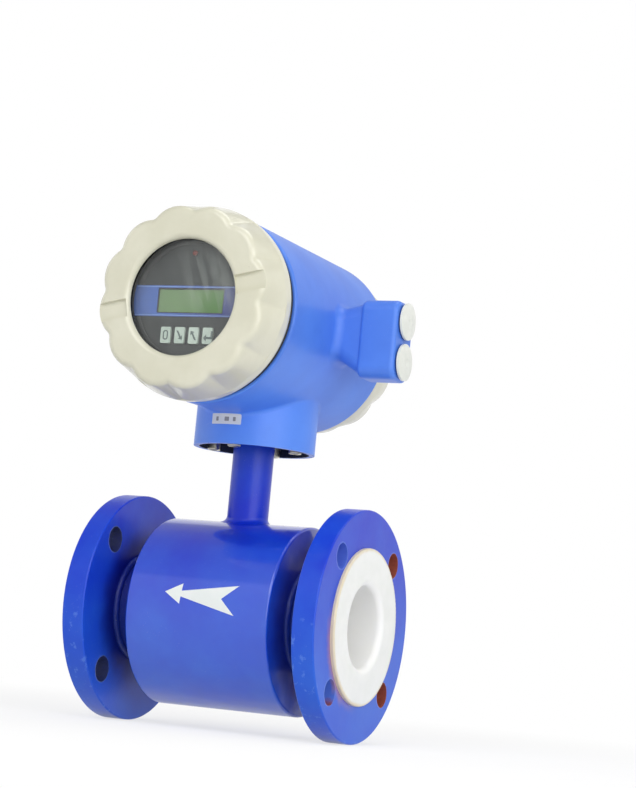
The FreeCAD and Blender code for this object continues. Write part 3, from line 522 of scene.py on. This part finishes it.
def lcdGreen():
    # reflective screen with its faint character cells, and a painted reflection that makes its upper left
    # lighter
    paint = Paint("lcdGreen")
    rise = paint.z - headHeight + 0.3
    # painted reflection: lighter at the upper left, darker at the lower right
    across = paint.ramp(paint.x - rise * 1.3, -6, 30)
    colour = paint.mix(across, tone(108, 136, 92), tone(66, 116, 36))
    column = paint.add("Math", {"operation": "PINGPONG"}, {0: paint.x, 1: 1.66})
    row = paint.add("Math", {"operation": "PINGPONG"}, {0: rise, 1: 3.6})
    gaps = paint.ramp(column, 0.22, 0.12) + paint.ramp(row, 0.35, 0.2)
    colour = paint.mix(gaps * 0.07, colour, tone(150, 176, 130))
    back = paint.noise(0.3, 3)
    colour = paint.mix(back * 0.12, colour, tone(60, 92, 48))
    return paint.close(colour, 0.2 + back * 0.05, paint.noise(2.4), 0.01)


def lampRed():
    paint = Paint("lampRed")
    cloud = paint.noise(0.6, 2)
    colour = paint.mix(cloud, tone(120, 40, 36), tone(156, 66, 56))
    return paint.close(colour, 0.16 + cloud * 0.08, cloud, 0.05)


def boardGreen():
    paint = Paint("boardGreen")
    flat = paint.add("CombineXYZ", {}, {0: paint.x, 1: paint.z})
    cells = paint.add("TexBrick", {"offset": 0.5},
                      {"Vector": flat, "Scale": 0.2, "Mortar Size": 0.06, "Color1": (1, 1, 1, 1),
                       "Color2": (0.4, 0.4, 0.4, 1), "Mortar": (0, 0, 0, 1)}, out="Fac")
    colour = paint.mix(cells, tone(20, 84, 48), tone(46, 120, 70))
    dots = paint.add("TexVoronoi", {"feature": "F1"}, {"Vector": paint.place, "Scale": 0.28})
    pads = paint.ramp(dots, 0.16, 0.12)
    colour = paint.mix(pads, colour, tone(206, 196, 150))
    return paint.close(colour, 0.3 + paint.noise(0.3) * 0.1, cells + pads, 0.03)


def markPaint(name, first, second):
    # screen-printed or brushed-on marking
    paint = Paint(name)
    cloud = paint.noise(0.12, 4, 0.6)
    wear = paint.ramp(paint.noise(0.7, 4, 0.7), 0.66, 0.74)
    colour = paint.mix(cloud, first, second)
    colour = paint.mix(wear * 0.25, colour, tone(170, 182, 206))
    return paint.close(colour, 0.35 + cloud * 0.1, cloud + paint.noise(1.5), 0.02)


aroundX = (0.06, 1.0, 1.0)    # turning lines run round this axis
aroundY = (1.0, 0.06, 1.0)
frontInnerEnd = nodeBox("front_cover")[1].y
rearInnerEnd = nodeBox("rear_cover")[0].y
finishes = {
    "sensor_blue": casingBlue(),
    "head_blue": headBlue(),
    "liner_white": linerWhite(),
    "plug_white": moulded("plugWhite", tone(224, 227, 219), tone(234, 236, 229), 0.26),
    "stainless": turnedSteel("stainless", tone(172, 172, 168), tone(206, 206, 202), 0.2, aroundX),
    "screw_steel": turnedSteel("screwZinc", tone(178, 174, 160), tone(222, 219, 206), 0.22, aroundY),
    "copper": copperWire(),
    "core_iron": coreIron(),
    "rubber": rubber(),
    "window_glass": windowGlass(),
    "fascia_black": fasciaDark(),
    "band_blue": bandBlue(),
    "lcd_green": lcdGreen(),
    "key_white": moulded("keyWhite", tone(182, 194, 184), tone(198, 208, 198), 0.32),
    "lamp_red": lampRed(),
    "board_green": boardGreen(),
    "terminal_grey": moulded("terminalGrey", tone(78, 82, 86), tone(98, 102, 104), 0.4),
}
ownFinishes = {
    "left_flange": flangeBlue("leftFlangeBlue", False),
    "right_flange": flangeBlue("rightFlangeBlue", True),
    "measuring_tube": gapShadeBlue(),
    "left_end_plate": casingBlue("leftPlateBlue", True),
    "right_end_plate": casingBlue("rightPlateBlue", True),
    "neck_tube": neckBlue(),
    "neck_flange": neckFlangeBlue(),
    "window_ring": blackRing(),
    "front_cover": coverCream("frontCream", frontInnerEnd / mm - coverSizes["reach"], 1),
    "rear_cover": coverCream("rearCream", rearInnerEnd / mm + coverSizes["reach"], -1),
}
slotOf = {part["node"]: part["material_slot"] for part in frame["record"]["subparts"]}
for name, shape in frame["nodes"].items():
    material = ownFinishes.get(name) or finishes[slotOf[name]]
    for materialSlot in shape.material_slots:
        materialSlot.material = material
print("finishes made")


def clearPick():
    if bpy.context.object and bpy.context.object.mode != "OBJECT":
        bpy.ops.object.mode_set(mode="OBJECT")
    bpy.ops.object.select_all(action="DESELECT")


def pickOnly(piece):
    clearPick()
    piece.select_set(True)
    bpy.context.view_layer.objects.active = piece


def openMesh(piece):
    # edit mode with the whole mesh picked
    pickOnly(piece)
    bpy.ops.object.mode_set(mode="EDIT")
    bpy.ops.mesh.select_all(action="SELECT")


def applyPlace():
    bpy.ops.object.transform_apply(location=True, rotation=True, scale=True)


def applyModifier(piece, kind, **settings):
    modifier = piece.modifiers.new(kind.title(), kind)
    for key, value in settings.items():
        setattr(modifier, key, value)
    pickOnly(piece)
    bpy.ops.object.modifier_apply(modifier=modifier.name)


def thicken(piece, thickness):
    applyModifier(piece, "SOLIDIFY", thickness=thickness * mm, offset=1.0)


def settle(piece, name, body, material):
    # the place goes into the mesh, then the piece rides on its body
    pickOnly(piece)
    applyPlace()
    piece.name = piece.data.name = name
    piece.data.materials.clear()
    piece.data.materials.append(material)
    bpy.ops.object.shade_smooth_by_angle(angle=math.radians(smoothAngle))
    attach(piece, body)


def flatShape(outlines, place):
    # filled flat outlines in x and z, made a mesh that faces -Y at the given place
    curve = bpy.data.curves.new("outline", "CURVE")
    curve.dimensions = "2D"
    curve.fill_mode = "BOTH"
    for outline in outlines:
        spline = curve.splines.new("POLY")
        spline.points.add(len(outline) - 1)
        for point, (x, z) in zip(spline.points, outline):
            point.co = (x * mm, z * mm, 0, 1)
        spline.use_cyclic_u = True
    shape = bpy.data.objects.new("outline", curve)
    bpy.context.collection.objects.link(shape)
    pickOnly(shape)
    bpy.ops.object.convert(target="MESH")
    shape = bpy.context.object
    shape.rotation_euler = (math.radians(90), 0, 0)
    shape.location = place
    applyPlace()
    return shape


def cutAcross(piece, low, high, step, normal):
    # cuts across the piece, so that it can follow a round surface
    openMesh(piece)
    at = low + step
    while at < high:
        bpy.ops.mesh.select_all(action="SELECT")
        bpy.ops.mesh.bisect(plane_co=tuple(Vector(normal) * at), plane_no=normal)
        at += step
    bpy.ops.object.mode_set(mode="OBJECT")


def wrapOn(piece, target, stand, thickness):
    # laid on the target along Y, then given its thickness
    applyModifier(piece, "SHRINKWRAP", target=frame["nodes"][target], wrap_method="PROJECT",
                  use_project_y=True, use_project_x=False, use_project_z=False,
                  use_positive_direction=True, use_negative_direction=False, offset=stand * mm)
    thicken(piece, thickness)


def roundedRect(width, height, corner, steps=4, centre=(0, 0)):
    points = []
    for quarter, (sx, sz) in enumerate(((1, 1), (-1, 1), (-1, -1), (1, -1))):
        for i in range(steps + 1):
            angle = math.radians(90 * (quarter + i / steps))
            points.append((centre[0] + sx * (width / 2 - corner) + corner * math.cos(angle),
                           centre[1] + sz * (height / 2 - corner) + corner * math.sin(angle)))
    return points


arrowSizes = {
    "tip": (-27.1, 12.5),
    "tilt": -2.6,             # degrees
    "length": 59.5,
    "headLength": 13.5,
    "headHalf": 7.6,
    "shaftHalf": 2.1,
    "tailHalf": 11.1,
    "notch": 12.4,
    "clear": 5,               # drawn this far in front of the casing, then laid on it
    "cuts": (-10, 30, 1.2),   # from, to and step along z
    "stand": 0.03,
    "thickness": 0.12,
}


def flowArrow(sizes):
    half = [(0, 0), (sizes["headLength"], sizes["headHalf"]), (sizes["headLength"], sizes["shaftHalf"]),
            (sizes["length"], sizes["tailHalf"]), (sizes["length"] - sizes["notch"], 0)]
    points = half + [(x, -z) for x, z in reversed(half[1:-1])]
    tilt = math.radians(sizes["tilt"])
    turned = [(sizes["tip"][0] + x * math.cos(tilt) - z * math.sin(tilt),
               sizes["tip"][1] + x * math.sin(tilt) + z * math.cos(tilt)) for x, z in points]
    arrow = flatShape([turned], (0, -shellRadius - sizes["clear"] * mm, 0))
    low, high, step = sizes["cuts"]
    cutAcross(arrow, low * mm, high * mm, step * mm, (0, 0, 1))
    wrapOn(arrow, "sensor_shell", sizes["stand"], sizes["thickness"])
    white = markPaint("arrowWhite", tone(232, 238, 234), tone(242, 246, 243))
    settle(arrow, "flow_arrow", "meter", white)


flowArrow(arrowSizes)
print("arrow made")


# small inspection label on the foot; its top edge has to stay below the barrel's
# underside, at a height of 151, or it is laid on the wrong side of the metal
labelSizes = {
    "centre": (-3.13, 146.48),
    "width": 25.3,
    "height": 7.9,
    "corner": 0.8,
    "thickness": 0.15,
    "marks": ((-7.6, 2.2), (0.9, 3.8), (7.2, 2.2)),   # middle and width of each bar
    "markHeight": 3.2,
    "markCorner": 0.3,
    "markThickness": 0.05,
    "front": -60,             # drawn here along y, then laid on the foot
    "reach": (18, 5),         # cuts go this far to each side, along x and z
    "steps": (1.0, 0.6),
    "stand": 0.03,
}


def layOnFoot(outlines, sizes, stand, thickness):
    x, z = sizes["centre"]
    place = (x * mm, sizes["front"] * mm, z * mm)
    wide, tall = (reach * mm for reach in sizes["reach"])
    flat = flatShape(outlines, place)
    cutAcross(flat, -wide, wide, sizes["steps"][0] * mm, (1, 0, 0))
    cutAcross(flat, place[2] - tall, place[2] + tall, sizes["steps"][1] * mm, (0, 0, 1))
    wrapOn(flat, "converter_housing", stand, thickness)
    return flat


def footLabel(sizes):
    outline = roundedRect(sizes["width"], sizes["height"], sizes["corner"])
    label = layOnFoot([outline], sizes, sizes["stand"], sizes["thickness"])
    white = markPaint("labelWhite", tone(206, 210, 214), tone(224, 226, 228))
    settle(label, "foot_label", "meter", white)
    bars = [roundedRect(width, sizes["markHeight"], sizes["markCorner"], centre=(at, 0))
            for at, width in sizes["marks"]]
    marks = layOnFoot(bars, sizes, sizes["stand"] + sizes["thickness"], sizes["markThickness"])
    grey = markPaint("labelGrey", tone(112, 112, 116), tone(150, 150, 154))
    settle(marks, "foot_label_marks", "meter", grey)


footLabel(labelSizes)
print("label made")


# weld beads where the tube meets the flanges and the casing
weldSizes = {
    "size": 3.0,
    "sides": 14,
    "stand": 0.6,             # bead's middle outside the tube
    "into": 0.5,              # and inside the gap
    "steps": 144,
    "ripple": 0.9,
    "rippleScale": 3.2,
}


def weldBeads(sizes):
    gaps = (nodeBox("left_flange")[1].x, nodeBox("left_end_plate")[0].x,
            nodeBox("right_end_plate")[1].x, nodeBox("right_flange")[0].x)
    sides = (1, -1, 1, -1)
    ripples = bpy.data.textures.new("ripples", "CLOUDS")
    ripples.noise_scale = sizes["rippleScale"] * mm
    for number, (x, side) in enumerate(zip(gaps, sides)):
        centre = (x + side * sizes["into"] * mm, 0, tubeRadius + sizes["stand"] * mm)
        clearPick()
        bpy.ops.mesh.primitive_circle_add(vertices=sizes["sides"], radius=sizes["size"] * mm,
                                          location=centre, rotation=(math.radians(90), 0, 0))
        bead = bpy.context.object
        applyPlace()
        openMesh(bead)
        bpy.ops.mesh.spin(steps=sizes["steps"], angle=math.radians(360), center=(0, 0, 0), axis=(1, 0, 0))
        bpy.ops.mesh.select_all(action="SELECT")
        bpy.ops.mesh.remove_doubles(threshold=0.01 * mm)
        bpy.ops.mesh.normals_make_consistent(inside=False)
        bpy.ops.object.mode_set(mode="OBJECT")
        applyModifier(bead, "DISPLACE", texture=ripples, texture_coords="LOCAL",
                      strength=sizes["ripple"] * mm, mid_level=0.5)
        settle(bead, "weld_bead_%d" % (number + 1), "meter", ownFinishes["measuring_tube"])


weldBeads(weldSizes)
print("weld beads made")


threadSizes = {
    "start": 13.0,            # from the cover's inner end to the thread's first turn
    "pitch": 1.5,
    "ridge": 0.5,
    "outside": 60.72,
    "turns": 8,
    "steps": 72,
}


def coverThread(sizes, name, body, innerEnd, outward):
    # a sharp ridge wound round the skirt; outward is +1 or -1 along Y
    clearPick()
    bpy.ops.mesh.primitive_circle_add(vertices=3, radius=sizes["ridge"] * mm, rotation=(math.radians(90), 0, 0))
    ridge = bpy.context.object
    applyPlace()
    openMesh(ridge)
    bpy.ops.transform.rotate(value=math.radians(90), orient_axis="Y", center_override=(0, 0, 0))
    bpy.ops.object.mode_set(mode="OBJECT")
    crest = max(vertex.co.x for vertex in ridge.data.vertices)
    openMesh(ridge)
    bpy.ops.transform.translate(value=(sizes["outside"] * mm - crest, 0, 0))
    bpy.ops.object.mode_set(mode="OBJECT")
    applyModifier(ridge, "SCREW", axis="Z", angle=math.radians(360), screw_offset=sizes["pitch"] * mm,
                  iterations=sizes["turns"], steps=sizes["steps"], render_steps=sizes["steps"])
    bpy.ops.object.mode_set(mode="EDIT")
    bpy.ops.mesh.select_all(action="DESELECT")
    bpy.ops.mesh.select_non_manifold()
    bpy.ops.mesh.fill()
    bpy.ops.mesh.select_all(action="SELECT")
    bpy.ops.mesh.normals_make_consistent(inside=False)
    bpy.ops.object.mode_set(mode="OBJECT")
    ridge.rotation_euler = (math.radians(-90 * outward), 0, 0)
    ridge.location = (0, innerEnd - outward * sizes["start"] * mm, headAxis.z)
    settle(ridge, name, body, finishes["stainless"])


coverThread(threadSizes, "front_cover_thread", "front_cover", frontInnerEnd, 1)
coverThread(threadSizes, "rear_cover_thread", "rear_cover", rearInnerEnd, -1)
print("threads made")


displaySizes = {
    "screen": (53.5, 18.0, -0.3),   # width, height and rise above the head's axis
    "bezel": 1.2,
    "bezelCorners": (1.0, 0.6),
    "bezelClear": 0.02,        # in front of the screen
    "bezelThickness": 0.2,
    "line": 0.5,              # lighter edge lines of the band
    "lineInset": 0.9,
    "lineCorner": 0.2,
    "lineThickness": 0.06,
    "bandRadius": 46.2,       # the band ends at the panel's edge
    "clear": 0.01,            # in front of the band and the keys
    "markThickness": 0.08,
}


def keyMarks():
    # generic signs: a hollow oval, two slanted arrows and a return arrow
    ring = [roundedRect(4.2, 7.2, 1.9, 6), roundedRect(2.2, 5.2, 0.9, 6)]
    down = [[(-2.6, 3.4), (-1.2, 3.4), (1.4, -1.0), (2.4, 0.0), (2.4, -3.4), (-0.8, -2.6), (0.2, -1.8)]]
    up = [[(-x, -z) for x, z in down[0]]]
    enter = [[(2.8, 3.4), (2.8, -0.8), (-0.8, -0.8), (-0.8, 0.9), (-3.2, -1.6), (-0.8, -4.1), (-0.8, -2.4),
              (3.0, -2.4), (4.2, -2.4), (4.2, 3.4)]]
    return {"function_key": ring, "down_key": down, "up_key": up, "enter_key": enter}


def displayDetails(sizes):
    screenFront = nodeBox("lcd_module")[0].y
    bandLow, bandHigh = nodeBox("display_band")
    width, height, rise = sizes["screen"]
    outerCorner, innerCorner = sizes["bezelCorners"]
    # a dark frame for the screen's edge; its opening sits right of and below the middle, so the frame is wider
    # at the left and top as painted shadow of the recess
    outer = roundedRect(width, height, outerCorner)
    inner = roundedRect(width - 1.2 * sizes["bezel"], height - 1.2 * sizes["bezel"], innerCorner,
                        centre=(0.3 * sizes["bezel"], -0.3 * sizes["bezel"]))
    bezel = flatShape([outer, inner], (0, screenFront - sizes["bezelClear"] * mm, headAxis.z + rise * mm))
    thicken(bezel, sizes["bezelThickness"])
    bezelShade = moulded("bezelShade", tone(34, 40, 36), tone(48, 54, 50), 0.35)
    settle(bezel, "lcd_bezel_shadow", "meter", bezelShade)
    inset = sizes["lineInset"] * mm
    for name, z in (("band_line_upper", bandHigh.z - inset), ("band_line_lower", bandLow.z + inset)):
        rise = (z - headAxis.z) / mm
        half = math.sqrt(sizes["bandRadius"] ** 2 - rise ** 2)
        outline = roundedRect(2 * half, sizes["line"], sizes["lineCorner"])
        line = flatShape([outline], (0, bandLow.y - sizes["clear"] * mm, z))
        thicken(line, sizes["lineThickness"])
        lineBlue = markPaint("lineBlue", tone(120, 152, 214), tone(140, 168, 222))
        settle(line, name, "meter", lineBlue)
    ink = markPaint("keyInk", tone(72, 84, 84), tone(96, 108, 106))
    for name, outlines in keyMarks().items():
        keyLow, keyHigh = nodeBox(name)
        place = ((keyLow.x + keyHigh.x) / 2, keyLow.y - sizes["clear"] * mm, middle(name).z)
        mark = flatShape(outlines, place)
        thicken(mark, sizes["markThickness"])
        settle(mark, name + "_mark", name, ink)


displayDetails(displaySizes)
print("display details made")


studio = {
    "floorSize": 60.0,
    "floorGap": 0.3,          # millimetres below the lowest point
    "dim": 0.42,              # light from all round
    "wallTop": (0.54, 0.62),  # the white wall fades into the ceiling between these heights
    "glow": (0.3, 250, 900),  # the floor's own shade near the object, and where it fades out
    "aim": (0.0, 0.0, 0.1),   # where the softboxes point, in metres
    "boxes": (
        # name, width, height, place, brightness
        ("front", 1.5, 1.1, (0.15, -1.75, 1.5), 2.5),
        ("side", 1.5, 1.4, (1.5, -1.25, 0.62), 2.1),
        ("right", 1.0, 1.3, (2.1, -0.45, 0.75), 1.1),
        ("left", 0.9, 1.2, (-2.0, -0.55, 0.75), 0.8),
        ("top", 1.3, 1.3, (0.3, 0.4, 2.0), 1.9),
    ),
}


def whiteForEyes(paint, base, share):
    # lit like paper, but white to the camera, to reflections and through glass
    camera, mirrored, through = paint.raysSeen()
    seen = paint.add("Math", {"operation": "MINIMUM"}, {0: camera + mirrored + through, 1: 1.0}) * share
    glow = paint.add("Emission", {}, {"Color": (1, 1, 1, 1), "Strength": 1.0})
    return paint.closeWith(paint.add("MixShader", {}, {0: seen, 1: base, 2: glow}))


def makeWorld(sizes):
    # a white wall all round under a dimmer ceiling
    world = bpy.data.worlds.new("studio")
    world.use_nodes = True
    bpy.context.scene.world = world
    sky = Shader(world.node_tree)
    camera, mirrored, through = sky.raysSeen()
    seen = sky.add("Math", {"operation": "MAXIMUM"}, {0: camera, 1: mirrored})
    seen = sky.add("Math", {"operation": "MAXIMUM"}, {0: seen, 1: through})
    direction = sky.add("TexCoord", out="Generated")
    height = sky.add("SeparateXYZ", {}, {0: direction}, out=2)
    top, bottom = sizes["wallTop"][1], sizes["wallTop"][0]
    share = seen * sky.ramp(height, top, bottom)
    dim = sky.add("Background", {}, {0: (1, 1, 1, 1), 1: sizes["dim"]})
    white = sky.add("Background", {}, {0: (1, 1, 1, 1), 1: 1.0})
    sky.add("OutputWorld", {}, {"Surface": sky.add("MixShader", {}, {0: share, 1: dim, 2: white})})


def makeStudio(sizes):
    clearPick()
    floorLevel = cadBox[0].z - sizes["floorGap"] * mm
    bpy.ops.mesh.primitive_plane_add(size=sizes["floorSize"], location=(0, 0, floorLevel))
    floor = bpy.context.object
    floor.name = "floor"
    paint = Paint("floorPaper")
    grain = paint.noise(0.01, 3)
    colour = paint.mix(grain, tone(244, 244, 244), tone(248, 248, 248))
    paper = paint.add("BsdfDiffuse", {}, {"Color": colour, "Roughness": 0.5})
    shade, near, far = sizes["glow"]
    share = 1 - paint.ramp(paint.radius(paint.x, paint.y), far, near) * shade
    floor.data.materials.append(whiteForEyes(paint, paper, share))
    for name, width, height, place, bright in sizes["boxes"]:
        bpy.ops.object.light_add(type="AREA", location=place)
        lamp = bpy.context.object
        lamp.name = name + "_softbox"
        lamp.data.shape = "RECTANGLE"
        lamp.data.size, lamp.data.size_y = width, height
        lamp.data.energy = bright * math.pi * width * height
        lamp.rotation_euler = (Vector(sizes["aim"]) - Vector(place)).to_track_quat("-Z", "Y").to_euler()
    makeWorld(sizes)


makeStudio(studio)
print("studio made")
